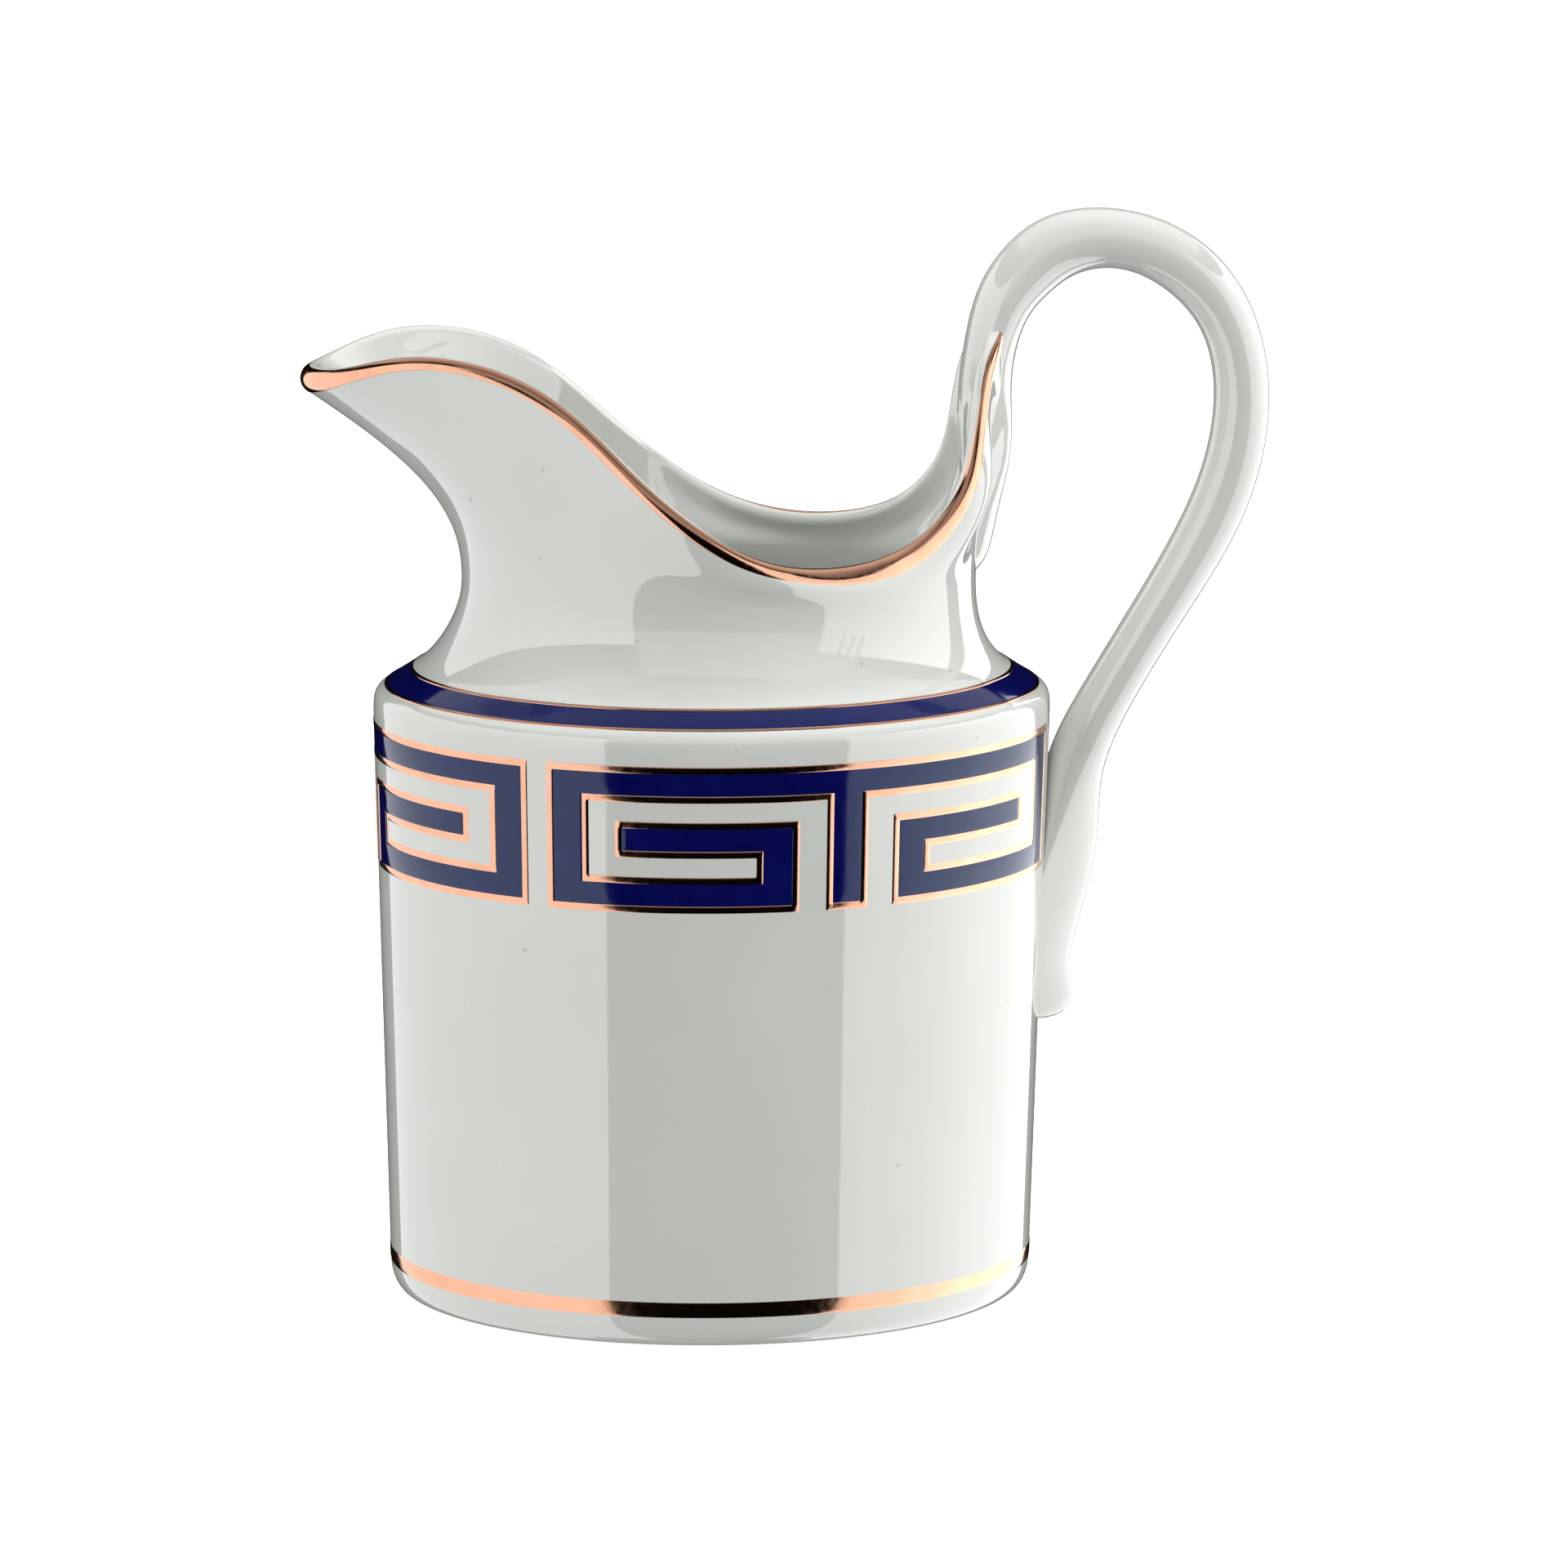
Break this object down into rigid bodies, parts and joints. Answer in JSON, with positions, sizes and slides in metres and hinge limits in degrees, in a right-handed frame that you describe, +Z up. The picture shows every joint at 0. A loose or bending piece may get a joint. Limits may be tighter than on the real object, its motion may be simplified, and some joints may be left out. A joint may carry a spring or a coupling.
{
  "type": "cream jug",
  "caption": "Oval porcelain cream jug with a long helmet spout, a high looped handle, a cobalt key fret and gilded lines.",
  "frame": {"origin": "on the standing surface, under the middle of the jug's length and width", "axes": "+Z up, the spout towards -X, the handle towards +X"},
  "size_m": [0.1204, 0.068, 0.1362],
  "materials": {
    "porcelain": "clear gloss glaze over white hard porcelain",
    "cobalt": "gloss cobalt-blue glaze decoration",
    "gold": "polished rose-gold gilding"
  },
  "bodies": {
    "root": {"jug_body": "porcelain", "handle": "porcelain", "rim_gold_line": "gold", "shoulder_gold_line_lower": "gold", "shoulder_cobalt_band": "cobalt", "shoulder_gold_line_upper": "gold", "fret_cobalt_spout": "cobalt", "fret_gold_spout": "gold", "fret_cobalt_front": "cobalt", "fret_gold_front": "gold", "fret_cobalt_back": "cobalt", "fret_gold_back": "gold", "base_gold_line": "gold"}
  },
  "joints": []
}
